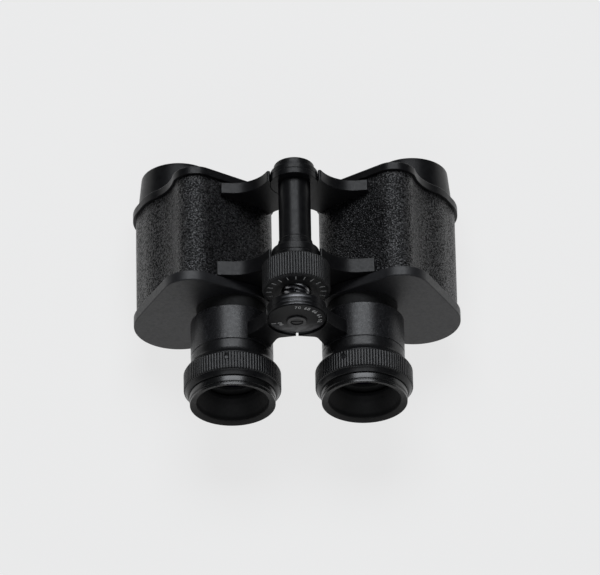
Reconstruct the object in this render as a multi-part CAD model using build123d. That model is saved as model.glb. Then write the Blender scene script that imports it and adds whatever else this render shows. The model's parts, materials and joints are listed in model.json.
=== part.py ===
from build123d import *
import math
import os

# Porro-prism binoculars with centre focusing, lying flat. Millimetres.
#
# Every part is laid out about the hinge axis: X to the right, Y along the optical axes with 0 at
# the outer face of the rear covers and the objectives at +Y, Z up. write() then moves it into the
# shared frame, whose origin is the middle of the object's base.
# The two halves mirror each other: SIDES gives the sign of X for each.

SIDES = {"left": -1, "right": 1}

# optical layout of one half, seen along Y: (x, z) from the hinge axis
EYE = (29.1, -29.5)
OBJECTIVE = (52.4, -43.2)
PRISM_MEET = (45.0, -23.6)

# body outline: lobes as (x, z, radius) of the rims
OBJECTIVE_LOBE = (52.4, -43.2, 20.5)
SHOULDER_LOBE = (50.0, -38.0, 20.5)
TOP_LOBE = (44.3, -11.0, 10.2)
REAR_TOP_LOBE = (46.6, -13.9, 12.9)
EYE_LOBE = (27.3, -32.5, 18.0)
GUIDE_LOBE = (28.8, -30.0, 17.8)
VALLEY_RADIUS = 22.0
LEATHER_INSET = 1.3
LEATHER_THICK = 0.8
WALL = 1.7
SKIN = 0.05

# stations along Y
BODY_LENGTH = 58.3
REAR_RIM = 4.6
FRONT_RIM = 3.8
COVER_THICK = 2.0
SHELF = (28.0, 31.0)
BARREL_END = 75.6
CELL_SPAN = (61.6, 70.6)

# hinge
FRONT_ARM = (47.1, 49.8, 52.3)
REAR_ARM = (5.1, 8.55, 12.0)
KNUCKLE_RADIUS = 10.6
KNUCKLE_GAP = 0.3
LAYER_GAP = 0.2
NOTCH_DEG = 2.2
TIP_ROUND = 0.8
AXLE_RADIUS = 5.0
RUNNING = 0.05
TUBE_RADIUS = 7.15
COLLAR = (8.0, 3.5)
CAP_RADIUS = 9.0
CAP_END = 56.1

# focusing
WHEEL_RADIUS = 15.1
WHEEL = (-8.0, 4.8)
FLANGE = (8.8, 2.2, 3.4)
RING_SEAT = (11.0, 3.5)
THREAD_RADIUS = 6.0
THREAD_END = -3.5
ROD_RADIUS = 3.2
BRIDGE = (-22.5, -19.2, -15.9)
BOSS_RADIUS = 13.0
JOURNAL_RADIUS = 4.0
BOSS_FACE = -21.3
DISC_RADIUS = 12.5
DISC_RIM = 0.4

# eyepieces
GUIDE_RADIUS = 15.5
GUIDE_END = -20.0
SLEEVE_RADIUS = 18.3
SLEEVE = (-24.1, -7.1)
KNURL_RADIUS = 21.6
KNURL = (-41.0, -32.8)
RING_END = -43.3
EYECUP_END = -48.0
CELL_RADIUS = 14.2
RING_SCREW_Y = -35.4
RING_SCREW_DEG = {"left": 96.0, "right": 115.0}
NECK_RADIUS = 17.0
NECK_END = -30.0
STEM_RADIUS = 14.8
CUP_RADIUS = 19.1
CUP_WALL_END = -46.1
LIP_RADIUS = 18.95
LIP_MOUTH = (16.1, -47.0)

# objective: barrel, recess in front of the lens, doublet and its cell
BARREL_STUB = 16.0
BARREL_BORE = 15.2
RECESS_RADIUS = 15.5
LENS_RADIUS = 14.25
FLINT_RIM = 3.2
CROWN_RIM = 1.5
CROWN_SAG = 1.4
CEMENT_SAG = -2.0
DOUBLET_Y = CELL_SPAN[0] + 1.4

# prisms
REAR_PRISM_HALF = 18.5
FRONT_PRISM_HALF = 17.0
PRISM_WIDTH = 17.0
ROOF_FLAT = 1.0
BEAM_RADIUS = 8.0
CLAMP_WIDTH = 6.0
CLAMP_THICK = 0.8

# screws of the rear cover: (lobe, angle) of each, and of the knurled rings
SCREW_RADIUS = 0.9
SCREW_Y = 2.9
SCREW_SPOTS = [(REAR_TOP_LOBE, 118.0), (REAR_TOP_LOBE, 62.0), (REAR_TOP_LOBE, 28.0), (OBJECTIVE_LOBE, -80.0)]

# shared frame: middle of the base
BASE_Z = OBJECTIVE_LOBE[1] - OBJECTIVE_LOBE[2]
MIDDLE_Y = (BARREL_END + EYECUP_END) / 2


def write(name, shape):
    """Move a part into the shared frame and write it."""
    moved = Pos(0, -MIDDLE_Y, -BASE_Z) * shape
    moved.label = name
    export_step(moved, f"parts/{name}.step")


def slab(sketch, y0, y1):
    """Extrude a sketch drawn in (x, z) from y0 to y1."""
    plane = Plane(origin=(0, y1, 0), x_dir=(1, 0, 0), z_dir=(0, -1, 0))
    return extrude(plane * sketch, y1 - y0)


def turn(points, axis=(0, 0)):
    """Revolve a closed outline of (radius, y, corner radius) about a line along Y at axis (x, z)."""
    path = FilletPolyline(*[(r, y) for r, y, _ in points], radius=[f for _, _, f in points], close=True)
    solid = revolve(make_face(path), Axis.Y)
    return Pos(axis[0], 0, axis[1]) * solid


def tube(outer, inner, y0, y1, axis=(0, 0)):
    """Plain tube along Y; inner may be 0."""
    ring = Circle(outer)
    if inner:
        ring -= Circle(inner)
    return slab(Pos(*axis) * ring, y0, y1)


def on_side(shape, sign):
    """Parts are drawn for the right half and mirrored for the left."""
    return shape if sign > 0 else mirror(shape, Plane.YZ)


def hull(lobes, grow):
    """Smooth outline around round lobes, grown or shrunk by an even distance."""
    edges = [(Pos(x, z) * Circle(r + grow)).edges()[0] for x, z, r in lobes]
    return make_hull(edges)


def valley_centre():
    """Centre of the hollow arc that touches the top lobe and the shoulder lobe."""
    (x0, z0, r0), (x1, z1, r1) = TOP_LOBE, SHOULDER_LOBE
    span = math.hypot(x1 - x0, z1 - z0)
    near, far = r0 + VALLEY_RADIUS, r1 + VALLEY_RADIUS
    turned = math.acos((span**2 + near**2 - far**2) / (2 * span * near))
    heading = math.atan2(z1 - z0, x1 - x0) + turned
    return x0 + near * math.cos(heading), z0 + near * math.sin(heading)


def body_outline(grow):
    """Outline of the casting: objective and prism lobes with a valley between them on the outer flank."""
    low = hull([OBJECTIVE_LOBE, SHOULDER_LOBE, EYE_LOBE], grow)
    high = hull([TOP_LOBE, EYE_LOBE], grow)
    centre = valley_centre()
    web = make_face(Polyline(TOP_LOBE[:2], centre, SHOULDER_LOBE[:2], close=True))
    return low + high + (web - Pos(*centre) * Circle(VALLEY_RADIUS - grow))


def rear_outline(grow):
    """Outline of the rear cover: straight outer flank, and a full wall around the guide tube."""
    return hull([OBJECTIVE_LOBE, SHOULDER_LOBE, REAR_TOP_LOBE, GUIDE_LOBE, EYE_LOBE], grow)


# ---- housing and hinge arms

CASTING_INSET = LEATHER_INSET + LEATHER_THICK
HOLLOW_INSET = CASTING_INSET + WALL


def arm_profile(tip_x):
    """Hinge arm seen along Y: a concave top edge, a flat upper end and an arched lower edge."""
    notch = math.radians(NOTCH_DEG)
    low = 20.6
    low_end = (low * math.sin(notch), -low * math.cos(notch))
    top = ThreePointArc((10.6, 9.7), (15.3, -1.7), (27.0, -6.6))
    rest = FilletPolyline(
        (27.0, -6.6), (tip_x, -6.0), (tip_x + 0.4, -14.0), EYE_LOBE[:2], (11.6, -26.0),
        (8.0, -22.4), low_end, (0.35, -9.0), (10.6, 0.0), (10.6, 9.7),
        radius=[0.5, 0, 0, 0, 4.0, 0, 0, 0],
    )
    plate = make_face(Curve() + [top, *rest.edges()])
    return fillet(plate.vertices().sort_by_distance((10.6, 9.7, 0))[0], TIP_ROUND)


def hinge_arm(span, tip_x, own_is_rear, bore):
    """One arm: a full plate outside the knuckle and a half-thickness knuckle around the axle."""
    y0, split, y1 = span
    half = LAYER_GAP / 2
    layers = [(y0, split - half), (split + half, y1)]
    own, other = layers if own_is_rear else layers[::-1]
    plate = arm_profile(tip_x)
    full = slab(plate - Circle(KNUCKLE_RADIUS + KNUCKLE_GAP), y0, y1)
    knuckle = slab((plate + Circle(KNUCKLE_RADIUS)) - Circle(bore), *own)
    return full + knuckle


def arms(sign):
    """Left knuckles are the outer pair, right knuckles the inner pair that carries the hinge tube."""
    outer = sign < 0
    bore = AXLE_RADIUS if outer else AXLE_RADIUS + RUNNING
    rear = hinge_arm(REAR_ARM, 35.0, outer, bore)
    front = hinge_arm(FRONT_ARM, 32.7, not outer, bore)
    return rear, front


def housing(sign):
    """Hollow casting that carries prisms, covers and hinge arms."""
    rear, front = arms(sign)
    shell = slab(body_outline(-CASTING_INSET), COVER_THICK, BODY_LENGTH - COVER_THICK)
    solid = shell + rear + front
    solid -= slab(body_outline(-HOLLOW_INSET), 0, BODY_LENGTH)
    for screw in screw_rods(SCREW_RADIUS + SKIN):
        solid -= screw
    return on_side(solid, sign)


def leatherette(sign):
    """Thin wrap between the rims, cut out around the hinge arms."""
    skin = body_outline(-LEATHER_INSET) - body_outline(-CASTING_INSET)
    wrap = slab(skin, REAR_RIM + SKIN, BODY_LENGTH - FRONT_RIM - SKIN)
    rear, front = arms(sign)
    return on_side(wrap - rear - front, sign)


def front_cover(sign):
    """Cap over the front end, with a raised rim and the seat of the objective barrel."""
    plate = slab(body_outline(0), BODY_LENGTH - COVER_THICK, BODY_LENGTH)
    skirt = body_outline(0) - body_outline(SKIN - CASTING_INSET)
    solid = plate + slab(skirt, BODY_LENGTH - FRONT_RIM, BODY_LENGTH)
    rim = solid.faces().sort_by(Axis.Y)[-1].outer_wire().edges()
    solid = fillet(rim, 0.5)
    solid -= tube(BARREL_STUB + SKIN, 0, BODY_LENGTH - 5, BODY_LENGTH + 1, OBJECTIVE)
    return on_side(solid, sign)


def rear_cover(sign):
    """Flat cover on the eyepiece side, with a raised rim and the eyepiece opening."""
    plate = slab(rear_outline(0), 0, COVER_THICK)
    skirt = rear_outline(0) - body_outline(SKIN - CASTING_INSET)
    solid = plate + slab(skirt, 0, REAR_RIM)
    rim = solid.faces().sort_by(Axis.Y)[0].outer_wire().edges()
    solid = fillet(rim, 0.5)
    solid -= tube(GUIDE_RADIUS + SKIN, 0, -1, 6, EYE)
    for screw in screw_rods(SCREW_RADIUS + SKIN):
        solid -= screw
    return on_side(solid, sign)


def screw_rods(radius):
    """Radial screws through the rear rim, one for each spot on the outline."""
    rods = []
    for (x, z, lobe), angle in SCREW_SPOTS:
        a = math.radians(angle)
        way = (math.cos(a), 0, math.sin(a))
        foot = (x + (lobe - 2.0) * way[0], SCREW_Y, z + (lobe - 2.0) * way[2])
        rods.append(extrude(Plane(origin=foot, z_dir=way) * Circle(radius), 1.8))
    return rods


def rear_cover_screws(sign):
    """Screws that hold the rear cover, as separate solids."""
    return on_side(Compound(children=screw_rods(SCREW_RADIUS)), sign)


# ---- objectives

def objective_barrel(sign):
    """Conical barrel screwed into the front cover."""
    face = BODY_LENGTH + SKIN
    points = [
        (BARREL_STUB, BODY_LENGTH - 3.6, 0.2), (BARREL_STUB, face, 0), (18.2, face, 0.3),
        (18.1, face + 2.0, 0.8), (16.7, BARREL_END - 1.6, 0.6), (16.5, BARREL_END, 0.5),
        (15.9, BARREL_END, 0.2), (RECESS_RADIUS, BARREL_END - 0.9, 0.2), (RECESS_RADIUS, CELL_SPAN[1], 0),
        (BARREL_BORE, CELL_SPAN[1], 0), (BARREL_BORE, CELL_SPAN[0], 0),
        (13.6, CELL_SPAN[0], 0.2), (13.6, BODY_LENGTH - 3.6, 0.2),
    ]
    return on_side(turn(points, OBJECTIVE), sign)


def objective_cell(sign):
    """Ring that holds the doublet."""
    y0, y1 = CELL_SPAN[0] + SKIN, CELL_SPAN[1]
    outer = BARREL_BORE - SKIN
    points = [(outer, y0, 0), (outer, y1, 0.2), (LENS_RADIUS + SKIN, y1, 0.2),
              (LENS_RADIUS + SKIN, y0 + 1.2, 0), (13.4, y0 + 1.2, 0), (13.4, y0, 0)]
    return on_side(turn(points, OBJECTIVE), sign)


def face_point(radius, y_rim, sag):
    """Point halfway out on a spherical lens face of the given sag."""
    sphere = (radius**2 + sag**2) / (2 * sag)
    drop = sphere - math.copysign(math.sqrt(sphere**2 - radius**2 / 4), sphere)
    return (radius / 2, y_rim + sag - drop)


def lens(radius, y_low, y_high, sag_low, sag_high, axis):
    """Lens whose rim runs from y_low to y_high and whose faces bulge by the two sags along +Y."""
    low = ThreePointArc((0, y_low + sag_low), face_point(radius, y_low, sag_low), (radius, y_low))
    high = ThreePointArc((radius, y_high), face_point(radius, y_high, sag_high), (0, y_high + sag_high))
    rim = Line((radius, y_low), (radius, y_high))
    core = Line((0, y_high + sag_high), (0, y_low + sag_low))
    solid = revolve(make_face(Curve() + [low, rim, high, core]), Axis.Y)
    return Pos(axis[0], 0, axis[1]) * solid


def flint_lens(sign):
    """Rear element of the doublet."""
    front = DOUBLET_Y + FLINT_RIM
    return on_side(lens(LENS_RADIUS, DOUBLET_Y, front, -0.4, CEMENT_SAG, OBJECTIVE), sign)


def crown_lens(sign):
    """Front element of the doublet."""
    rear = DOUBLET_Y + FLINT_RIM + SKIN
    return on_side(lens(LENS_RADIUS, rear, rear + CROWN_RIM, CEMENT_SAG, CROWN_SAG, OBJECTIVE), sign)


def lens_ring(sign):
    """Threaded ring that keeps the doublet in its cell."""
    y0 = DOUBLET_Y + FLINT_RIM + CROWN_RIM + 0.25
    return on_side(tube(LENS_RADIUS, 13.5, y0, y0 + 1.6, OBJECTIVE), sign)


# ---- prisms


def prism_plane(start, end, shelf_y, way):
    """Plane through a prism's long edge: x along the beam's shift, y along Y away from the shelf."""
    shift = Vector(end[0] - start[0], 0, end[1] - start[1]).normalized()
    middle = ((start[0] + end[0]) / 2, shelf_y, (start[1] + end[1]) / 2)
    return Plane(origin=middle, x_dir=shift, z_dir=shift.cross(Vector(0, way, 0)))


def porro_prism(start, end, shelf_y, way, half):
    """Right-angle prism that shifts the beam from start to end, its long face on the shelf."""
    points = [(-half, 0.1), (half, 0.1), (ROOF_FLAT, half - ROOF_FLAT), (-ROOF_FLAT, half - ROOF_FLAT)]
    face = prism_plane(start, end, shelf_y, way) * make_face(Polyline(*points, close=True))
    return extrude(face, PRISM_WIDTH / 2, both=True)


def prism_clamp(start, end, shelf_y, way, prism_half):
    """Spring strap over the prism's roof, with a foot on each side."""
    base = prism_plane(start, end, shelf_y, way)
    across = Plane(origin=base.origin, x_dir=base.z_dir, z_dir=-base.x_dir)
    reach = PRISM_WIDTH / 2 + 0.2
    roof = prism_half - ROOF_FLAT + 0.1
    foot = reach + 3.6
    t = CLAMP_THICK
    half = [(0, roof), (reach, roof), (reach, 0.1), (foot, 0.1), (foot, 0.1 + t), (reach + t, 0.1 + t),
            (reach + t, roof + t), (0, roof + t)]
    other = [(-x, y) for x, y in half[::-1]]
    sketch = make_face(Polyline(*half, *other[1:-1], close=True))
    return extrude(across * sketch, CLAMP_WIDTH / 2, both=True)


def prism_shelf(sign):
    """Plate across the casting that carries both prisms and lets the beam through."""
    plate = body_outline(-HOLLOW_INSET - SKIN)
    for spot in (OBJECTIVE, PRISM_MEET, EYE):
        plate -= Pos(*spot) * Circle(BEAM_RADIUS)
    return on_side(slab(plate, *SHELF), sign)


def rear_prism(sign):
    return on_side(porro_prism(OBJECTIVE, PRISM_MEET, SHELF[0], -1, REAR_PRISM_HALF), sign)


def front_prism(sign):
    return on_side(porro_prism(PRISM_MEET, EYE, SHELF[1], 1, FRONT_PRISM_HALF), sign)


def rear_prism_clamp(sign):
    return on_side(prism_clamp(OBJECTIVE, PRISM_MEET, SHELF[0], -1, REAR_PRISM_HALF), sign)


def front_prism_clamp(sign):
    return on_side(prism_clamp(PRISM_MEET, EYE, SHELF[1], 1, FRONT_PRISM_HALF), sign)


# ---- eyepieces

def guide_tube(sign):
    """Tube fixed in the rear cover, on which the eyepiece slides."""
    return on_side(tube(GUIDE_RADIUS, CELL_RADIUS + 0.1, GUIDE_END, COVER_THICK, EYE), sign)


def eyepiece_sleeve(sign):
    """Sliding sleeve, with a neck that carries the knurled ring."""
    bore = GUIDE_RADIUS + RUNNING
    y0, y1 = SLEEVE
    points = [(bore, y1, 0.2), (SLEEVE_RADIUS, y1, 0.4), (SLEEVE_RADIUS, y0, 0.2),
              (NECK_RADIUS, y0, 0), (NECK_RADIUS, NECK_END, 0.2), (bore, NECK_END, 0.2)]
    return on_side(turn(points, EYE), sign)


def eyepiece_ring(side, sign):
    """Flared ring with the knurled band; it turns on the sleeve's neck."""
    start = SLEEVE[0] - 0.15
    inner = NECK_RADIUS + RUNNING
    points = [
        (inner, start, 0), (SLEEVE_RADIUS, start, 0.3), (18.6, start - 2.5, 6.0),
        (20.9, -31.2, 3.0), (21.3, KNURL[1], 0.2), (KNURL_RADIUS, KNURL[1], 0.2),
        (KNURL_RADIUS, KNURL[0], 0.3), (20.9, KNURL[0] - 0.5, 0.3), (19.6, RING_END, 0.4),
        (STEM_RADIUS + SKIN, RING_END, 0.2), (STEM_RADIUS + SKIN, NECK_END - 1.2, 0),
        (inner, NECK_END - 0.5, 0),
    ]
    ring = on_side(turn(points, EYE), sign)
    return ring - ring_screw(side, sign, SCREW_RADIUS + SKIN)


def ring_screw(side, sign, radius=SCREW_RADIUS):
    """Set screw in the knurled band."""
    a = math.radians(RING_SCREW_DEG[side])
    way = (math.cos(a), 0, math.sin(a))
    reach = KNURL_RADIUS - 3.2
    foot = (sign * EYE[0] + reach * way[0], RING_SCREW_Y, EYE[1] + reach * way[2])
    return extrude(Plane(origin=foot, z_dir=way) * Circle(radius), 2.8)


def eyecup(sign):
    """Eyecup with a stem inside the ring, a thin groove and a thin lip around a conical hollow."""
    shoulder = RING_END - SKIN
    groove = LIP_RADIUS - 0.35
    mouth, mouth_y = LIP_MOUTH
    points = [
        (STEM_RADIUS, -36.6, 0.3), (STEM_RADIUS, shoulder, 0), (CUP_RADIUS, shoulder, 0),
        (CUP_RADIUS, CUP_WALL_END, 0.2), (groove, CUP_WALL_END - 0.15, 0.1),
        (groove, CUP_WALL_END - 0.5, 0.1), (LIP_RADIUS, CUP_WALL_END - 0.7, 0.15),
        (LIP_RADIUS, EYECUP_END, 0.25), (mouth, mouth_y, 0.4),
        (mouth - 0.5, mouth_y + 0.9, 0.5), (11.8, -38.0, 0.5), (11.8, -36.6, 0.2),
    ]
    return on_side(turn(points, EYE), sign)


def ocular_cell(sign):
    """Inner tube with the eyepiece lenses; it slides in the guide tube."""
    points = [
        (CELL_RADIUS, -12.0, 0.2), (CELL_RADIUS, -35.0, 0.3), (9.6, -35.0, 0.2), (9.6, -33.4, 0),
        (12.4, -33.4, 0), (12.4, -12.0, 0.2),
    ]
    return on_side(turn(points, EYE), sign)


def eye_lens(sign):
    """Eye lens against the cell's rear shoulder."""
    return on_side(lens(12.35, -32.5, -28.6, -1.5, 1.8, EYE), sign)


def field_lens(sign):
    """Field lens at the front of the cell."""
    return on_side(lens(12.35, -19.0, -15.6, -1.4, 1.4, EYE), sign)


# ---- bridge, focusing and hinge

def bridge_profile():
    """Bridge arm seen along Y, from the spindle to its seat on the eyepiece sleeve."""
    notch = math.radians(NOTCH_DEG)
    low = BOSS_RADIUS + 0.9
    low_end = (low * math.sin(notch), -low * math.cos(notch))
    top = ThreePointArc((11.0, 13.7), (13.6, -1.5), (21.8, -11.8))
    rest = FilletPolyline(
        (21.8, -11.8), (22.2, -14.0), EYE, (12.4, -28.6), (11.5, -21.5), (8.6, -15.2), low_end, (0.3, -8.0),
        (11.0, 0.0), (11.0, 13.7), radius=[0, 0, 0, 2.5, 3.0, 0, 0, 0],
    )
    return make_face(Curve() + [top, *rest.edges()])


def bridge_arm(sign):
    """Arm from the spindle to the sleeve. The left boss lies behind the right one."""
    y0, split, y1 = BRIDGE
    half = LAYER_GAP / 2
    own = (BOSS_FACE, split - half) if sign < 0 else (split + half, y1)
    bore = JOURNAL_RADIUS if sign < 0 else JOURNAL_RADIUS + RUNNING
    seat = Pos(*EYE) * Circle(SLEEVE_RADIUS + SKIN)
    plate = bridge_profile() - seat
    solid = slab(plate - Circle(BOSS_RADIUS + KNUCKLE_GAP), y0, y1)
    solid += slab((plate + Circle(BOSS_RADIUS)) - Circle(bore), *own)
    return on_side(solid, sign)


def bridge_disc():
    """Low conical disc with the interpupillary scale, on the face of the left boss."""
    back = BOSS_FACE - SKIN
    bore = JOURNAL_RADIUS + RUNNING
    points = [(bore, back, 0), (DISC_RADIUS, back, 0.1), (DISC_RADIUS, back - DISC_RIM, 0.15),
              (bore + 0.5, BRIDGE[0] - 0.1, 0), (bore, BRIDGE[0] - 0.1, 0)]
    return turn(points)


def bridge_nut():
    """Low ring nut around the screw in the middle of the disc."""
    y1 = BRIDGE[0] - 0.1 - SKIN
    return turn([(2.75, y1 - 0.7, 0.15), (4.5, y1 - 0.7, 0.3), (4.5, y1, 0), (2.75, y1, 0)])


def bridge_screw():
    """Slotted screw that ties the bridge to the spindle."""
    head = tube(2.7, 0, BRIDGE[0] - 0.5, BRIDGE[0] + 1.2)
    shank = tube(1.5, 0, BRIDGE[0] + 1.2, BRIDGE[0] + 9.0)
    slot = Pos(0, BRIDGE[0] - 0.5, 0) * Box(6, 1.2, 0.7)
    return head + shank - slot


def focus_spindle():
    """Threaded spindle with a smooth rod that slides in the axle and a journal for the bridge."""
    points = [
        (0, BRIDGE[0], 0), (JOURNAL_RADIUS, BRIDGE[0], 0.2), (JOURNAL_RADIUS, BRIDGE[2], 0),
        (THREAD_RADIUS, BRIDGE[2] + 0.1, 0.3), (THREAD_RADIUS, THREAD_END, 0.3),
        (ROD_RADIUS, THREAD_END, 0), (ROD_RADIUS, 30.0, 0.3), (0, 30.0, 0),
    ]
    solid = turn(points)
    solid -= tube(2.7 + SKIN, 0, BRIDGE[0] - 1, BRIDGE[0] + 1.3)
    solid -= tube(1.5 + SKIN, 0, BRIDGE[0] + 1, BRIDGE[0] + 9.3)
    return solid


def focus_wheel():
    """Focus wheel: a nut on the spindle, with a front recess for the axle's flange."""
    y0, y1 = WHEEL
    bore = THREAD_RADIUS + 0.1
    points = [
        (bore, y0 + 0.6, 0), (bore + 0.6, y0, 0), (14.2, y0, 0.2), (WHEEL_RADIUS, y0 + 0.7, 0.3),
        (WHEEL_RADIUS, y1 - 0.7, 0.3), (14.2, y1, 0.2), (RING_SEAT[0] + SKIN, y1, 0),
        (RING_SEAT[0] + SKIN, RING_SEAT[1], 0), (FLANGE[0] + 0.3, RING_SEAT[1], 0),
        (FLANGE[0] + 0.3, FLANGE[1] - 0.1, 0), (bore, FLANGE[1] - 0.1, 0),
    ]
    return turn(points)


def wheel_retaining_ring():
    """Ring screwed into the wheel that keeps it on the axle's flange."""
    return tube(RING_SEAT[0], AXLE_RADIUS + 0.3, RING_SEAT[1] + SKIN, WHEEL[1])


def hinge_axle():
    """Hollow axle, fixed in the left knuckles, with the flange that holds the focus wheel."""
    flange, y0, y1 = FLANGE
    bore = ROD_RADIUS + 0.1
    points = [
        (bore, y0, 0.2), (flange, y0, 0.2), (flange, y1, 0.2), (AXLE_RADIUS, y1, 0),
        (AXLE_RADIUS, FRONT_ARM[2], 0), (4.2, FRONT_ARM[2], 0), (4.2, 54.6, 0.3), (0, 54.6, 0),
        (0, 42.0, 0), (bore, 42.0, 0),
    ]
    return turn(points)


def hinge_tube():
    """Outer tube between the right knuckles, with a collar at its rear end."""
    radius, width = COLLAR
    y0 = REAR_ARM[2]
    bore = AXLE_RADIUS + RUNNING
    step = (radius + TUBE_RADIUS) / 2
    points = [
        (bore, y0, 0), (radius, y0, 0.3), (radius, y0 + width, 0.2), (step, y0 + width, 0.1),
        (step, y0 + width + 1.4, 0.1), (TUBE_RADIUS, y0 + width + 1.8, 0), (TUBE_RADIUS, FRONT_ARM[0], 0),
        (bore, FRONT_ARM[0], 0),
    ]
    return turn(points)


def front_hinge_cap():
    """Cap nut on the front end of the axle, with a ring groove in its face."""
    y0, y1 = FRONT_ARM[2] + SKIN, CAP_END
    points = [
        (4.2 + SKIN, y0, 0), (CAP_RADIUS, y0, 0.2), (CAP_RADIUS, y1, 0.7), (7.4, y1, 0.1),
        (7.3, y1 - 0.6, 0.1), (6.5, y1 - 0.6, 0.1), (6.4, y1, 0.1), (0, y1, 0), (0, 54.8, 0),
        (4.2 + SKIN, 54.8, 0),
    ]
    return turn(points)


HALF_PARTS = {
    "housing": housing, "leatherette": leatherette, "front_cover": front_cover, "rear_cover": rear_cover,
    "rear_cover_screws": rear_cover_screws, "objective_barrel": objective_barrel,
    "objective_cell": objective_cell, "flint_lens": flint_lens, "crown_lens": crown_lens,
    "lens_ring": lens_ring, "prism_shelf": prism_shelf, "rear_prism": rear_prism,
    "front_prism": front_prism, "rear_prism_clamp": rear_prism_clamp,
    "front_prism_clamp": front_prism_clamp, "guide_tube": guide_tube,
    "eyepiece_sleeve": eyepiece_sleeve, "eyecup": eyecup, "ocular_cell": ocular_cell,
    "eye_lens": eye_lens, "field_lens": field_lens, "bridge_arm": bridge_arm,
}

SIDE_PARTS = {"eyepiece_ring": eyepiece_ring, "ring_screw": ring_screw}

CENTRE_PARTS = {
    "bridge_disc": bridge_disc, "bridge_nut": bridge_nut, "bridge_screw": bridge_screw,
    "focus_spindle": focus_spindle, "focus_wheel": focus_wheel,
    "wheel_retaining_ring": wheel_retaining_ring, "hinge_axle": hinge_axle, "hinge_tube": hinge_tube,
    "front_hinge_cap": front_hinge_cap,
}

os.makedirs("parts", exist_ok=True)
for side, sign in SIDES.items():
    for name, make in HALF_PARTS.items():
        write(f"{side}_{name}", make(sign))
    for name, make in SIDE_PARTS.items():
        write(f"{side}_{name}", make(side, sign))
for name, make in CENTRE_PARTS.items():
    write(name, make())
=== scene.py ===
import json
import math

import bmesh
import bpy
from mathutils import Matrix, Vector


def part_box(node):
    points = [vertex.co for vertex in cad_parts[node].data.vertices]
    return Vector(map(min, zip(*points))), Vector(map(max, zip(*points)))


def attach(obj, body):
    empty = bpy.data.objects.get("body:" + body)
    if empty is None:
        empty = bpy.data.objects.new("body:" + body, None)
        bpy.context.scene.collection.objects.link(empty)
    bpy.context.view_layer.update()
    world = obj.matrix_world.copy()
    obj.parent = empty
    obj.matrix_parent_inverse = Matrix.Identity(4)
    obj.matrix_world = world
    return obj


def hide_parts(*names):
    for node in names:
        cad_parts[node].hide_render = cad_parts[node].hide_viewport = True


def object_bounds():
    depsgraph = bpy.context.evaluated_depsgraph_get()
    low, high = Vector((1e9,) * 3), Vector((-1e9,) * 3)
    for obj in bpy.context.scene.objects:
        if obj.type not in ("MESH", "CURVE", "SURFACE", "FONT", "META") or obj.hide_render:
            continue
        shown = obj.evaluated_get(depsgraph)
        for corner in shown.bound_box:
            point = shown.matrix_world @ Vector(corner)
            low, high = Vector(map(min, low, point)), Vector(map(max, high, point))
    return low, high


# Centre-focus Porro-prism binoculars: mesh detail, materials, studio light and camera around the
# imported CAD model. Lengths in the local layout are millimetres from the hinge axis (x, z) and from
# the outer face of the rear covers (y); place() turns them into the frame's metres.

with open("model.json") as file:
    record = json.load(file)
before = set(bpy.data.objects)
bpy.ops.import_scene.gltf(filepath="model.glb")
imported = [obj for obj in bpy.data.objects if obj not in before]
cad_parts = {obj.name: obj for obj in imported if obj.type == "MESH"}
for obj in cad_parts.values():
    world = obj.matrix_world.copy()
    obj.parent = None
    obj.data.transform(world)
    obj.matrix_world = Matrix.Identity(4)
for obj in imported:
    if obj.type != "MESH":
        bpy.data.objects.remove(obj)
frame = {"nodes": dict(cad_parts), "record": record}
cad_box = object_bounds()
nodes = frame["nodes"]

MM = 0.001
TAU = 2 * math.pi


def middle(node):
    low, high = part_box(node)
    return (low + high) / 2


HINGE = middle("hinge_tube")
REAR_FACE_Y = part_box("left_rear_cover")[0].y
ORIGIN = Vector((HINGE.x, REAR_FACE_Y, HINGE.z))


def place(x, y, z):
    """Layout millimetres to frame metres."""
    return ORIGIN + Vector((x, y, z)) * MM


def layout(point):
    """Frame metres to layout millimetres."""
    return (Vector(point) - ORIGIN) / MM


# ---- shader helpers

EDGE_ROUND = 0.3 * MM
BOSS_RING_PITCH = 2.1 * MM
SATIN_FINISH = {
    "dark": (0.004, 0.004, 0.0045), "light": (0.008, 0.008, 0.0085), "rough": 0.33,
    "grain": 2600.0, "grain_depth": 0.000012, "gloss": 0.17,
}


def new_material(name):
    material = bpy.data.materials.new(name)
    material.use_nodes = True
    tree = material.node_tree
    shader = tree.nodes["Principled BSDF"]
    return material, tree, shader


def add(tree, kind, **values):
    node = tree.nodes.new(kind)
    for key, value in values.items():
        setattr(node, key, value)
    return node


def link(tree, source, target):
    tree.links.new(source, target)


def noise(tree, scale, detail=3.0, roughness=0.55):
    """Noise in object space; scale is in cells per metre."""
    where = add(tree, "ShaderNodeTexCoord")
    texture = add(tree, "ShaderNodeTexNoise")
    texture.inputs["Scale"].default_value = scale
    texture.inputs["Detail"].default_value = detail
    texture.inputs["Roughness"].default_value = roughness
    link(tree, where.outputs["Object"], texture.inputs["Vector"])
    return texture.outputs["Fac"]


def span(tree, value, from_low, from_high, to_low, to_high):
    """Map a value from one range to another, clamped."""
    node = add(tree, "ShaderNodeMapRange", clamp=True)
    limits = {"From Min": from_low, "From Max": from_high, "To Min": to_low, "To Max": to_high}
    for key, number in limits.items():
        node.inputs[key].default_value = number
    link(tree, value, node.inputs["Value"])
    return node.outputs["Result"]


def math_node(tree, operation, a, b=0.0):
    """Result of one math node; b is unused by operations on a single value."""
    node = add(tree, "ShaderNodeMath", operation=operation)
    for socket, value in zip(node.inputs, (a, b)):
        if isinstance(value, (int, float)):
            socket.default_value = value
        else:
            link(tree, value, socket)
    return node.outputs["Value"]


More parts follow.
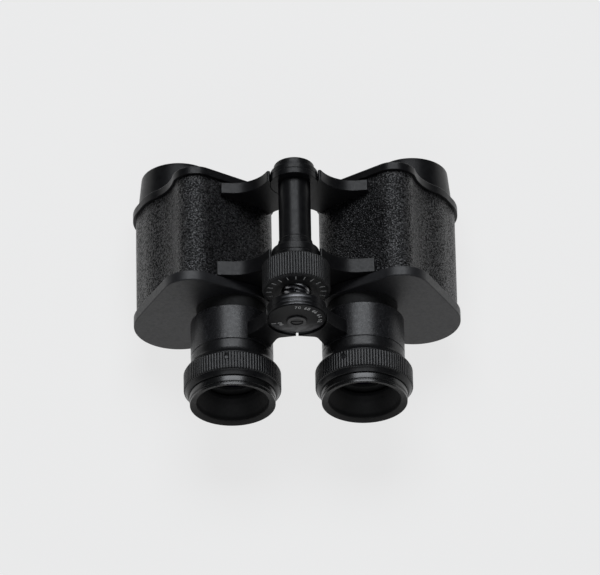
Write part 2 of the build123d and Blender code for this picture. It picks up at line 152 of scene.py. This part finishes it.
def blend_colors(tree, factor, dark, light):
    node = add(tree, "ShaderNodeMix", data_type="RGBA")
    link(tree, factor, node.inputs["Factor"])
    for socket, value in ((node.inputs[6], dark), (node.inputs[7], light)):
        if isinstance(value, tuple):
            socket.default_value = (*value, 1.0)
        else:
            link(tree, value, socket)
    return node.outputs[2]


def bump(tree, shader, height, distance, edge=0.0):
    """Raise the surface by a height value; edge rounds sharp edges by that many metres."""
    node = add(tree, "ShaderNodeBump")
    if edge:
        soft = add(tree, "ShaderNodeBevel", samples=6)
        soft.inputs["Radius"].default_value = edge
        link(tree, soft.outputs["Normal"], node.inputs["Normal"])
    node.inputs["Distance"].default_value = distance
    node.inputs["Strength"].default_value = 1.0
    link(tree, height, node.inputs["Height"])
    link(tree, node.outputs["Normal"], shader.inputs["Normal"])


def worn_edges(tree):
    """How bare an edge is rubbed: where the softened normal leaves the true one, in patches."""
    shape = add(tree, "ShaderNodeNewGeometry")
    soft = add(tree, "ShaderNodeBevel", samples=6)
    soft.inputs["Radius"].default_value = EDGE_ROUND
    turned = add(tree, "ShaderNodeVectorMath", operation="DOT_PRODUCT")
    link(tree, shape.outputs["Normal"], turned.inputs[0])
    link(tree, soft.outputs["Normal"], turned.inputs[1])
    edge = span(tree, turned.outputs["Value"], 0.97, 0.80, 0.0, 1.0)
    patches = span(tree, noise(tree, 900.0, 4.0), 0.42, 0.62, 0.0, 1.0)
    return math_node(tree, "MULTIPLY", edge, patches)


def black_paint(name, dark, light, rough, grain, grain_depth, gloss=0.5, wear=0.35, speckle=0.0,
                uneven=1.0):
    """Black enamel: mottled colour, uneven sheen, fine texture and rubbed edges.

    grain is in cells per metre, grain_depth in metres. speckle is how strong the tiny pale dots are,
    uneven how far the sheen varies."""
    material, tree, shader = new_material(name)
    shader.inputs["Specular IOR Level"].default_value = gloss
    mottle = span(tree, noise(tree, 260.0, 4.0), 0.3, 0.7, 0.0, 1.0)
    color = blend_colors(tree, mottle, dark, light)
    if speckle:
        dots = span(tree, noise(tree, grain * 1.1, 1.0), 0.56, 0.72, 0.0, speckle)
        color = blend_colors(tree, dots, color, (0.20, 0.20, 0.21))
    worn = math_node(tree, "MULTIPLY", worn_edges(tree), wear)
    color = blend_colors(tree, worn, color, (0.12, 0.12, 0.125))
    link(tree, color, shader.inputs["Base Color"])
    sheen = span(tree, noise(tree, 700.0, 4.0), 0.3, 0.7, rough - 0.05 * uneven, rough + 0.07 * uneven)
    link(tree, sheen, shader.inputs["Roughness"])
    bump(tree, shader, noise(tree, grain, 2.0), grain_depth, edge=EDGE_ROUND)
    return material


def rubbed_disc():
    """Thin black on the bridge disc, with a painted reflection: paler in patches on its lower half, and
    rubbed edges.
    """
    material, tree, shader = new_material("disc_black_painted_reflection")
    where = add(tree, "ShaderNodeTexCoord")
    split = add(tree, "ShaderNodeSeparateXYZ")
    link(tree, where.outputs["Object"], split.inputs["Vector"])
    # painted reflection: the disc's lower half is painted paler in patches, standing in for the bright
    # floor it reflects
    low = span(tree, split.outputs["Z"], HINGE.z - 2.5 * MM, HINGE.z - 8.0 * MM, 0.0, 1.0)
    patches = span(tree, noise(tree, 420.0, 4.0), 0.35, 0.6, 0.15, 1.0)
    rubbed = math_node(tree, "MULTIPLY", low, patches)
    # edge: the stronger of the painted reflection and the rubbed edges; it also sets the roughness
    edge = math_node(tree, "MAXIMUM", rubbed, math_node(tree, "MULTIPLY", worn_edges(tree), 0.8))
    color = blend_colors(tree, edge, (0.006, 0.006, 0.0065), (0.075, 0.075, 0.078))
    link(tree, color, shader.inputs["Base Color"])
    link(tree, span(tree, edge, 0.0, 1.0, 0.5, 0.36), shader.inputs["Roughness"])
    shader.inputs["Specular IOR Level"].default_value = 0.22
    bump(tree, shader, noise(tree, 4200.0, 2.0), 0.000012, edge=EDGE_ROUND)
    return material


def bridge_paint():
    """Satin black, with a painted highlight: pale bare-metal rings on the top (and underside) of the
    turned bosses around the spindle, standing in for the overhead highlight.
    """
    material = black_paint("bridge_black_painted_highlight", **SATIN_FINISH)
    tree = material.node_tree
    shader = tree.nodes["Principled BSDF"]
    where = add(tree, "ShaderNodeTexCoord")
    split = add(tree, "ShaderNodeSeparateXYZ")
    link(tree, where.outputs["Object"], split.inputs["Vector"])
    across = math_node(tree, "SUBTRACT", split.outputs["X"], HINGE.x)
    upward = math_node(tree, "SUBTRACT", split.outputs["Z"], HINGE.z)
    square = math_node(tree, "ADD", math_node(tree, "MULTIPLY", across, across),
                       math_node(tree, "MULTIPLY", upward, upward))
    boss = span(tree, math_node(tree, "SQRT", square), 13.7 * MM, 13.2 * MM, 0.0, 1.0)
    shape = add(tree, "ShaderNodeNewGeometry")
    facing = add(tree, "ShaderNodeSeparateXYZ")
    link(tree, shape.outputs["Normal"], facing.inputs["Vector"])
    wall = span(tree, math_node(tree, "ABSOLUTE", facing.outputs["Y"]), 0.7, 0.4, 0.0, 1.0)
    # crown keeps the painted highlight near the top (and underside) of the bosses
    crown = span(tree, math_node(tree, "ABSOLUTE", across), 7.0 * MM, 3.0 * MM, 0.0, 1.0)
    turned = math_node(tree, "MULTIPLY", math_node(tree, "MULTIPLY", boss, wall), crown)
    phase = math_node(tree, "MULTIPLY", split.outputs["Y"], TAU / BOSS_RING_PITCH)
    wave = math_node(tree, "SINE", phase)
    rings = span(tree, wave, -0.2, 0.7, 0.0, 0.5)
    # bare: the painted highlight rings, pale and metallic
    bare = math_node(tree, "MULTIPLY", turned, rings)
    paint = shader.inputs["Base Color"].links[0].from_socket
    link(tree, blend_colors(tree, bare, paint, (0.22, 0.22, 0.23)), shader.inputs["Base Color"])
    link(tree, bare, shader.inputs["Metallic"])
    return material


def leatherette():
    """Pebbled leatherette: rounded grains between fine creases, with dull valleys; the colour is painted
    lighter on grain tops (painted highlight) and darker in the creases (painted shade), with a random
    tone per grain.
    """
    material, tree, shader = new_material("pebbled_leatherette")
    where = add(tree, "ShaderNodeTexCoord")
    wobble = add(tree, "ShaderNodeTexNoise")
    wobble.inputs["Scale"].default_value = 1500.0
    link(tree, where.outputs["Object"], wobble.inputs["Vector"])
    shift = add(tree, "ShaderNodeVectorMath", operation="SCALE")
    link(tree, wobble.outputs["Color"], shift.inputs[0])
    shift.inputs["Scale"].default_value = 0.0006
    moved = add(tree, "ShaderNodeVectorMath", operation="ADD")
    link(tree, where.outputs["Object"], moved.inputs[0])
    link(tree, shift.outputs["Vector"], moved.inputs[1])
    pebble = add(tree, "ShaderNodeTexVoronoi", feature="SMOOTH_F1")
    pebble.inputs["Scale"].default_value = 1350.0
    pebble.inputs["Smoothness"].default_value = 0.35
    link(tree, moved.outputs["Vector"], pebble.inputs["Vector"])
    grain = span(tree, pebble.outputs["Distance"], 0.15, 0.75, 1.0, 0.0)
    fine = span(tree, noise(tree, 5200.0, 2.0), 0.2, 0.8, 0.0, 0.25)
    height = math_node(tree, "ADD", grain, fine)
    split = add(tree, "ShaderNodeSeparateColor")
    link(tree, pebble.outputs["Color"], split.inputs["Color"])
    uneven = span(tree, split.outputs["Red"], 0.25, 0.75, 0.3, 1.0)
    # painted highlight and shade: lighter on grain tops, darker in the creases, times a random tone per
    # grain
    tone = math_node(tree, "MULTIPLY", grain, uneven)
    color = blend_colors(tree, tone, (0.002, 0.002, 0.002), (0.018, 0.018, 0.020))
    link(tree, color, shader.inputs["Base Color"])
    link(tree, span(tree, tone, 0.0, 0.8, 0.1, 1.0), shader.inputs["Specular IOR Level"])
    sheen = span(tree, grain, 0.0, 1.0, 0.48, 0.26)
    link(tree, sheen, shader.inputs["Roughness"])
    bump(tree, shader, height, 0.00018)
    return material


def bare_metal(name, color, rough, streak):
    """Machined metal with fine turning marks."""
    material, tree, shader = new_material(name)
    shader.inputs["Metallic"].default_value = 1.0
    marks = noise(tree, streak, 3.0)
    tone = blend_colors(tree, marks, tuple(c * 0.75 for c in color), color)
    link(tree, tone, shader.inputs["Base Color"])
    sheen = span(tree, noise(tree, 1100.0, 3.0), 0.3, 0.7, rough - 0.06, rough + 0.08)
    link(tree, sheen, shader.inputs["Roughness"])
    bump(tree, shader, marks, 0.00001)
    return material


def coated_glass():
    """Dark coated glass, faintly violet, with dust."""
    material, tree, shader = new_material("coated_glass")
    dust = span(tree, noise(tree, 1800.0, 4.0), 0.55, 0.75, 0.0, 0.25)
    color = blend_colors(tree, dust, (0.012, 0.010, 0.020), (0.05, 0.05, 0.055))
    link(tree, color, shader.inputs["Base Color"])
    link(tree, span(tree, dust, 0.0, 0.25, 0.04, 0.16), shader.inputs["Roughness"])
    shader.inputs["Coat Weight"].default_value = 1.0
    shader.inputs["Coat Roughness"].default_value = 0.03
    shader.inputs["Coat Tint"].default_value = (0.75, 0.70, 1.0, 1.0)
    return material


def marking_white():
    """Pale paint in engraved marks, slightly chipped."""
    material, tree, shader = new_material("marking_white")
    chips = span(tree, noise(tree, 3500.0, 3.0), 0.35, 0.6, 0.0, 1.0)
    color = blend_colors(tree, chips, (0.30, 0.30, 0.30), (0.70, 0.70, 0.69))
    link(tree, color, shader.inputs["Base Color"])
    shader.inputs["Roughness"].default_value = 0.6
    bump(tree, shader, chips, 0.00002)
    return material


SATIN = black_paint("satin_black", **SATIN_FINISH)
COVER = black_paint("cover_black", (0.008, 0.008, 0.009), (0.012, 0.012, 0.0135), 0.45, 4200.0, 0.00003,
                    gloss=0.42)
SPECKLE = black_paint("speckled_black", (0.004, 0.004, 0.0045), (0.008, 0.008, 0.009), 0.31, 3000.0,
                      0.00003, gloss=0.30, speckle=0.3)
TURNED = black_paint("anodised_black", (0.006, 0.006, 0.0065), (0.010, 0.010, 0.0105), 0.30, 5200.0,
                     0.000006, gloss=0.26)
DARK_STEEL = black_paint("blackened_steel", (0.008, 0.008, 0.009), (0.016, 0.016, 0.017), 0.36, 3800.0,
                         0.000008, gloss=0.3)
EYECUP = black_paint("eyecup_black", (0.004, 0.004, 0.004), (0.006, 0.006, 0.006), 0.27, 3000.0,
                     0.000002, gloss=0.5, wear=0.5, uneven=0.2)
LINER = black_paint("eyecup_inside", (0.006, 0.006, 0.006), (0.009, 0.009, 0.009), 0.6, 3600.0, 0.00003,
                    gloss=0.2, wear=0.0)
LIP = black_paint("eyecup_lip", (0.005, 0.005, 0.005), (0.008, 0.008, 0.008), 0.42, 3600.0, 0.00001,
                  gloss=0.12)
WHEEL_FACE = black_paint("wheel_face_black", (0.006, 0.006, 0.006), (0.016, 0.016, 0.017), 0.5, 2600.0,
                         0.00002, gloss=0.25)
BAFFLE = black_paint("baffle_black", (0.008, 0.008, 0.008), (0.012, 0.012, 0.012), 0.7, 3000.0, 0.00004,
                     gloss=0.2, wear=0.0)
DISC_BLACK = rubbed_disc()
BRIDGE_BLACK = bridge_paint()
LEATHER = leatherette()
SPINDLE_METAL = bare_metal("oiled_steel", (0.30, 0.30, 0.31), 0.32, 1500.0)
SPRING = bare_metal("spring_steel", (0.45, 0.45, 0.46), 0.35, 2200.0)
ALUMINIUM = bare_metal("bare_aluminium", (0.6, 0.6, 0.61), 0.40, 1800.0)
GLASS = coated_glass()
MARKING = marking_white()

SLOT_MATERIAL = {
    "black_satin": SATIN, "black_matte": COVER, "black_speckle": SPECKLE, "black_anodised": TURNED,
    "bare_aluminium": ALUMINIUM, "leatherette": LEATHER, "black_steel": DARK_STEEL,
    "spring_steel": SPRING, "spindle_steel": SPINDLE_METAL, "lens_glass": GLASS,
    "eyecup_plastic": EYECUP,
}


def dress_nodes():
    """Give every CAD node its slot's material, and a few nodes a finish of their own."""
    slots = {entry["node"]: entry["material_slot"] for entry in frame["record"]["subparts"]}
    for name, obj in nodes.items():
        obj.data.materials.clear()
        obj.data.materials.append(SLOT_MATERIAL[slots[name]])
        if name.endswith(("_ocular_cell", "_guide_tube", "_objective_cell")):
            obj.data.materials[0] = BAFFLE
    # the bridge disc gets the painted reflection on its lower half
    nodes["bridge_disc"].data.materials[0] = DISC_BLACK
    # the screw gets the darker satin black so the recess it sits in reads dark: painted shade
    nodes["bridge_screw"].data.materials[0] = SATIN
    # the bridge arms get the painted highlight rings on their bosses
    for side in ("left", "right"):
        nodes[f"{side}_bridge_arm"].data.materials[0] = BRIDGE_BLACK


# ---- mesh helpers

def finish_mesh(name, bm, material, sharp_degrees=35.0):
    mesh = bpy.data.meshes.new(name)
    bmesh.ops.recalc_face_normals(bm, faces=bm.faces)
    bm.to_mesh(mesh)
    bm.free()
    mesh.materials.append(material)
    mesh.shade_smooth()
    mesh.set_sharp_from_angle(angle=math.radians(sharp_degrees))
    obj = bpy.data.objects.new(name, mesh)
    bpy.context.scene.collection.objects.link(obj)
    return obj


def rounded(points, steps=4):
    """Closed outline of (radius, y, corner radius) with each corner turned into an arc."""
    out = []
    count = len(points)
    for i, (r, y, corner) in enumerate(points):
        here = Vector((r, y))
        before = Vector(points[i - 1][:2]) - here
        after = Vector(points[(i + 1) % count][:2]) - here
        if corner <= 0:
            out.append(here)
            continue
        cut = min(corner, 0.45 * before.length, 0.45 * after.length)
        start = here + before.normalized() * cut
        end = here + after.normalized() * cut
        for k in range(steps + 1):
            t = k / steps
            out.append(start * (1 - t) ** 2 + here * 2 * t * (1 - t) + end * t**2)
    return out


def split_long(outline, longest):
    """Add points along long straight stretches of a closed outline."""
    out = []
    for i, here in enumerate(outline):
        ahead = outline[(i + 1) % len(outline)]
        pieces = max(1, math.ceil((ahead - here).length / longest))
        out += [here.lerp(ahead, k / pieces) for k in range(pieces)]
    return out


def lathe(name, points, axis, material, segments=192, longest=2.0, shape=None, sharp=35.0):
    """Revolve an outline about a line along Y at axis (x, z); shape(r, y, angle) may move each point."""
    outline = split_long(rounded(points), longest)
    bm = bmesh.new()
    rings = []
    for k in range(segments):
        angle = TAU * k / segments
        ring = []
        for point in outline:
            r, y = (point.x, point.y) if shape is None else shape(point.x, point.y, angle)
            spot = place(axis[0] + r * math.sin(angle), y, axis[1] + r * math.cos(angle))
            ring.append(bm.verts.new(spot))
        rings.append(ring)
    count = len(outline)
    for k in range(segments):
        a, b = rings[k], rings[(k + 1) % segments]
        for i in range(count):
            j = (i + 1) % count
            bm.faces.new((a[i], a[j], b[j], b[i]))
    bmesh.ops.remove_doubles(bm, verts=bm.verts, dist=1e-7)
    return finish_mesh(name, bm, material, sharp)


RIDGE_REACH = 1.2
RIDGE_FADE = 0.6


def ridge_shape(count, depth, band, radius):
    """Straight knurling: rounded ridges between narrow grooves, on points near radius within band."""
    low, high = band
    floor_radius = radius - RIDGE_REACH

    def shape(r, y, angle):
        if r < floor_radius or y < low or y > high:
            return r, y
        wave = abs(math.sin(count * angle / 2)) ** 0.55
        share = min(1.0, (r - floor_radius) / RIDGE_FADE)
        return r - depth * share * (1 - wave), y

    return shape


# ---- eyepieces

EYEPIECE_BODY = {"left": "left_carriage", "right": "diopter_ring"}


def eye_axis(side):
    centre = layout(middle(f"{side}_guide_tube"))
    return centre.x, centre.z


RING_RIDGES = 98
RIDGE_STEPS = 8


def cut_hole(obj, centre, way, radius, depth):
    """Bore a small radial hole into a mesh."""
    bm = bmesh.new()
    bmesh.ops.create_cone(bm, cap_ends=True, segments=32, radius1=radius * MM, radius2=radius * MM,
                          depth=depth * MM)
    tool = finish_mesh("tool", bm, DARK_STEEL)
    tool.matrix_world = Matrix.Translation(centre) @ way.to_track_quat("Z", "Y").to_matrix().to_4x4()
    modifier = obj.modifiers.new("hole", "BOOLEAN")
    modifier.object = tool
    modifier.operation = "DIFFERENCE"
    modifier.solver = "EXACT"
    bake_modifiers(obj)
    bpy.data.objects.remove(tool)


def bake_modifiers(obj):
    bpy.context.view_layer.update()
    depsgraph = bpy.context.evaluated_depsgraph_get()
    mesh = bpy.data.meshes.new_from_object(obj.evaluated_get(depsgraph))
    obj.modifiers.clear()
    obj.data = mesh


def eyepiece_ring(side):
    """Flared ring with straight knurling and the set screw's hole."""
    points = [
        (17.05, -24.25, 0.1), (18.25, -24.25, 0.1), (18.35, -28.6, 1.0), (18.8, -30.2, 1.2),
        (20.2, -31.4, 1.0), (21.1, -32.0, 0.6), (21.15, -32.7, 0.1), (21.6, -32.9, 0.15),
        (21.6, -40.9, 0.2), (20.9, -41.3, 0.2), (20.6, -41.9, 0.4), (19.7, -43.3, 0.3),
        (14.85, -43.3, 0.1), (14.85, -31.2, 0.1), (17.05, -30.5, 0.1),
    ]
    shape = ridge_shape(RING_RIDGES, depth=0.28, band=(-41.25, -32.75), radius=21.6)
    ring = lathe(f"{side}_knurled_ring", points, eye_axis(side), TURNED,
                 segments=RING_RIDGES * RIDGE_STEPS, longest=2.4, shape=shape, sharp=60.0)
    screw = middle(f"{side}_ring_screw")
    x, z = eye_axis(side)
    way = screw - place(x, layout(screw).y, z)
    cut_hole(ring, screw, way.normalized(), radius=1.0, depth=4.0)
    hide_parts(f"{side}_eyepiece_ring")
    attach(ring, EYEPIECE_BODY[side])
    return ring


HOLLOW_RADIUS = 16.2
LIP_RADIUS = 18.8
LIP_BACK = -46.85


def eyecup(side):
    """Eyecup: straight wall, groove, thin lip whose face slopes inward, and a dull hollow."""
    points = [
        (14.85, -36.6, 0.2), (14.85, -43.35, 0.0), (19.1, -43.35, 0.3), (19.1, -46.15, 0.12),
        (18.7, -46.3, 0.08), (18.7, -46.75, 0.08), (18.95, -46.9, 0.1), (18.95, -48.0, 0.12),
        (16.1, -47.0, 0.3), (15.7, -45.2, 0.6), (12.9, -40.6, 0.6), (11.8, -38.2, 0.3),
        (11.8, -36.6, 0.2),
    ]
    axis = eye_axis(side)
    cup = lathe(f"{side}_turned_eyecup", points, axis, EYECUP, segments=256, longest=1.5, sharp=45.0)
    cup.data.materials.append(LINER)
    cup.data.materials.append(LIP)
    for face in cup.data.polygons:
        spot = layout(face.center)
        radius = math.hypot(spot.x - axis[0], spot.z - axis[1])
        if radius < HOLLOW_RADIUS:
            face.material_index = 1
        elif radius < LIP_RADIUS and spot.y < LIP_BACK:
            face.material_index = 2
    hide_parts(f"{side}_eyecup")
    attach(cup, EYEPIECE_BODY[side])
    return cup


LENS_RADIUS = 14.25
LENS_FRONT_SAG = 1.4
LENS_REAR_SAG = 2.0
LENS_STEPS = 12


def front_lens(side):
    """Front element of the objective, with a smooth curved face."""
    x, _, z = layout(middle(f"{side}_crown_lens"))
    low, high = (layout(corner).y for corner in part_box(f"{side}_crown_lens"))
    shares = [k / LENS_STEPS for k in range(LENS_STEPS + 1)]
    rear = [(LENS_RADIUS * t, low + LENS_REAR_SAG * t * t, 0.0) for t in shares]
    front = [(LENS_RADIUS * t, high - LENS_FRONT_SAG * t * t, 0.0) for t in shares[::-1]]
    lens = lathe(f"{side}_front_lens", rear + front, (x, z), GLASS, segments=128, longest=3.0)
    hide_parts(f"{side}_crown_lens")
    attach(lens, f"{side}_half")


# ---- focusing

WHEEL_RIDGES = 72
WHEEL_FACE_Y = -7.1
WHEEL_FACE_RADIUS = 14.7
TICKS = 20
TICK_RADIUS = 12.0
TICK_Y = -7.9
TICK_SIZE = (0.30, 0.16, 2.5)


def focus_wheel():
    """Knurled focus wheel with a slightly dished face."""
    points = [
        (6.1, -7.2, 0.2), (6.9, -7.9, 0.2), (9.4, -7.75, 0.4), (14.0, -8.0, 0.3), (15.1, -7.3, 0.3),
        (15.1, 4.1, 0.3), (14.2, 4.8, 0.3), (11.05, 4.8, 0.1), (11.05, 3.5, 0.1), (9.1, 3.5, 0.1),
        (9.1, 2.1, 0.1), (6.1, 2.1, 0.1),
    ]
    shape = ridge_shape(WHEEL_RIDGES, depth=0.36, band=(-8.2, 5.0), radius=15.1)
    wheel = lathe("knurled_focus_wheel", points, (0, 0), TURNED, segments=WHEEL_RIDGES * RIDGE_STEPS,
                  longest=3.0, shape=shape, sharp=60.0)
    wheel.data.materials.append(WHEEL_FACE)
    for face in wheel.data.polygons:
        spot = layout(face.center)
        if spot.y < WHEEL_FACE_Y and math.hypot(spot.x, spot.z) < WHEEL_FACE_RADIUS:
            face.material_index = 1
    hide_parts("focus_wheel")
    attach(wheel, "focus_wheel_body")
    return wheel


def bars(name, frames, size, material):
    """Join small rounded bars; each frame is a matrix, size is (width, length, height) in mm."""
    bm = bmesh.new()
    scale = Matrix.Diagonal((size[0] * MM, size[1] * MM, size[2] * MM, 1.0))
    for where in frames:
        made = bmesh.ops.create_cube(bm, size=1.0)["verts"]
        bmesh.ops.transform(bm, matrix=where @ scale, verts=made)
    bmesh.ops.bevel(bm, geom=bm.edges[:], offset=0.04 * MM, segments=2, affect="EDGES", profile=0.5)
    return finish_mesh(name, bm, material)


def wheel_ticks():
    """Pale marks all round the wheel's face."""
    frames = []
    for k in range(TICKS):
        angle = TAU * k / TICKS
        spot = place(TICK_RADIUS * math.sin(angle), TICK_Y, TICK_RADIUS * math.cos(angle))
        frames.append(Matrix.Translation(spot) @ Matrix.Rotation(angle, 4, "Y"))
    ticks = bars("wheel_marks", frames, TICK_SIZE, MARKING)
    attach(ticks, "focus_wheel_body")
    return ticks


THREAD_LEAD = 9.6
THREAD_STARTS = 4
THREAD_DEPTH = 0.75
THREAD_ROOT = 5.0
THREAD_CREST = 0.8


def focus_spindle():
    """Spindle with a left-hand thread of rounded grooves."""
    points = [
        (0.0, -22.5, 0.0), (4.0, -22.5, 0.2), (4.0, -15.9, 0.0), (6.0, -15.85, 0.2),
        (6.0, -3.5, 0.4), (3.2, -3.5, 0.0), (3.2, 30.0, 0.4), (0.0, 30.0, 0.0),
    ]

    def thread(r, y, angle):
        if r < THREAD_ROOT:
            return r, y
        turn = y / THREAD_LEAD + angle / TAU
        wave = abs(math.sin(math.pi * THREAD_STARTS * turn))
        return r - THREAD_DEPTH * (1 - wave**THREAD_CREST), y

    spindle = lathe("threaded_spindle", points, (0, 0), SPINDLE_METAL, segments=160, longest=0.15,
                    shape=thread, sharp=70.0)
    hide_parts("focus_spindle")
    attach(spindle, "left_carriage")
    return spindle


# ---- bridge disc

SCALE_NUMBERS = (70, 68, 66, 64, 62)
SCALE_START = 3.0
SCALE_STEP = 24.0
SCALE_RADIUS = 10.2
SCALE_SIZE = 2.6
INDEX_LABEL = ("60", 7.8, -114.0, 2.7)
INDEX_LINE_SPOT = (10.8, -109.0)
INDEX_LINE_SIZE = (0.3, 2.0, 0.12)
DISC_SLOPE = math.radians(6.1)
DISC_FLAT = 4.55
DISC_RIM_Y = -22.6


def disc_surface(radius):
    """Height along Y of the conical disc face at a radius, in layout millimetres."""
    return DISC_RIM_Y + math.tan(DISC_SLOPE) * (radius - DISC_FLAT)


def disc_frame(radius, degrees):
    """Frame on the disc face: local X around the disc, local Y outward, local Z out of the face."""
    angle = math.radians(degrees)
    spot = place(radius * math.sin(angle), disc_surface(radius), radius * math.cos(angle))
    tilt = Matrix.Rotation(math.radians(90) - DISC_SLOPE, 4, "X")
    return Matrix.Translation(spot) @ Matrix.Rotation(angle, 4, "Y") @ tilt


def number_mesh(text, size):
    """Raised numerals as mesh data."""
    curve = bpy.data.curves.new("numeral", "FONT")
    curve.body = text
    curve.size = size * MM
    curve.extrude = 0.06 * MM
    curve.offset = -0.03 * MM
    curve.space_character = 1.15
    curve.align_x = "CENTER"
    curve.align_y = "CENTER"
    holder = bpy.data.objects.new("numeral", curve)
    bpy.context.scene.collection.objects.link(holder)
    bpy.context.view_layer.update()
    mesh = bpy.data.meshes.new_from_object(holder.evaluated_get(bpy.context.evaluated_depsgraph_get()))
    bpy.data.objects.remove(holder)
    return mesh


def disc_scale():
    """Generic numbers around the disc, and an index line with its own number.

    A label is (text, radius, degrees from the top, size)."""
    bm = bmesh.new()
    labels = [(str(number), SCALE_RADIUS, SCALE_START + SCALE_STEP * k, SCALE_SIZE)
              for k, number in enumerate(SCALE_NUMBERS)]
    labels.append(INDEX_LABEL)
    for text, radius, degrees, size in labels:
        mesh = number_mesh(text, size)
        mesh.transform(disc_frame(radius, degrees))
        bm.from_mesh(mesh)
        bpy.data.meshes.remove(mesh)
    scale = finish_mesh("disc_numbers", bm, MARKING)
    line = bars("disc_index_line", [disc_frame(*INDEX_LINE_SPOT)], INDEX_LINE_SIZE, MARKING)
    for piece in (scale, line):
        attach(piece, "left_carriage")


# ---- assembly

dress_nodes()
for side in ("left", "right"):
    eyepiece_ring(side)
    eyecup(side)
    front_lens(side)
focus_wheel()
wheel_ticks()
focus_spindle()
disc_scale()


# ---- stage, light and camera

FLOOR_HALF_SIZE = 4.0


def floor():
    """Pale table that glows a little, so shadows stay soft and faint."""
    bm = bmesh.new()
    bmesh.ops.create_grid(bm, x_segments=1, y_segments=1, size=FLOOR_HALF_SIZE)
    material, _, shader = new_material("pale_floor")
    shader.inputs["Base Color"].default_value = (0.11, 0.11, 0.11, 1.0)
    shader.inputs["Roughness"].default_value = 0.9
    shader.inputs["Specular IOR Level"].default_value = 0.1
    shader.inputs["Emission Color"].default_value = (1.0, 1.0, 1.0, 1.0)
    shader.inputs["Emission Strength"].default_value = 0.75
    obj = finish_mesh("floor", bm, material)
    obj.location.z = cad_box[0][2]


LIGHT_COLOR = (0.93, 0.96, 1.0)


def softbox(name, location, target, size_x, size_y, power):
    light = bpy.data.lights.new(name, "AREA")
    light.shape = "RECTANGLE"
    light.size = size_x
    light.size_y = size_y
    light.energy = power
    light.color = LIGHT_COLOR
    obj = bpy.data.objects.new(name, light)
    obj.location = location
    obj.rotation_euler = (Vector(target) - Vector(location)).to_track_quat("-Z", "Y").to_euler()
    bpy.context.scene.collection.objects.link(obj)


def studio():
    world = bpy.data.worlds.new("dark_studio")
    world.use_nodes = True
    background = world.node_tree.nodes["Background"]
    background.inputs["Color"].default_value = (0.80, 0.85, 1.0, 1.0)
    background.inputs["Strength"].default_value = 0.03
    bpy.context.scene.world = world
    softbox("overhead", (0.0, 0.62, 1.12), (0.0, 0.0, 0.04), 1.0, 0.6, 11.0)
    softbox("fill", (0.0, -0.95, 0.85), (0.0, -0.02, 0.04), 0.9, 0.6, 4.0)


ELEVATION = math.radians(60.0)
AZIMUTH = math.radians(0.3)
ROLL = math.radians(1.5)
DISTANCE = 3.265
LENS = 444.9
SENSOR = 36.0
AIM = (1.67, -5.88, 0.0)


def camera():
    """Long lens from above the eyepieces."""
    data = bpy.data.cameras.new("camera")
    data.sensor_width = SENSOR
    data.lens = LENS
    obj = bpy.data.objects.new("camera", data)
    target = place(*AIM)
    flat = Vector((math.sin(AZIMUTH), -math.cos(AZIMUTH), 0.0)) * math.cos(ELEVATION)
    away = flat + Vector((0.0, 0.0, math.sin(ELEVATION)))
    look = (-away).to_track_quat("-Z", "Y").to_matrix().to_4x4()
    roll = Matrix.Rotation(-ROLL, 4, "Z")
    obj.matrix_world = Matrix.Translation(target + away * DISTANCE) @ look @ roll
    bpy.context.scene.collection.objects.link(obj)
    bpy.context.scene.camera = obj


floor()
studio()
camera()
bpy.context.scene.view_settings.view_transform = "Standard"
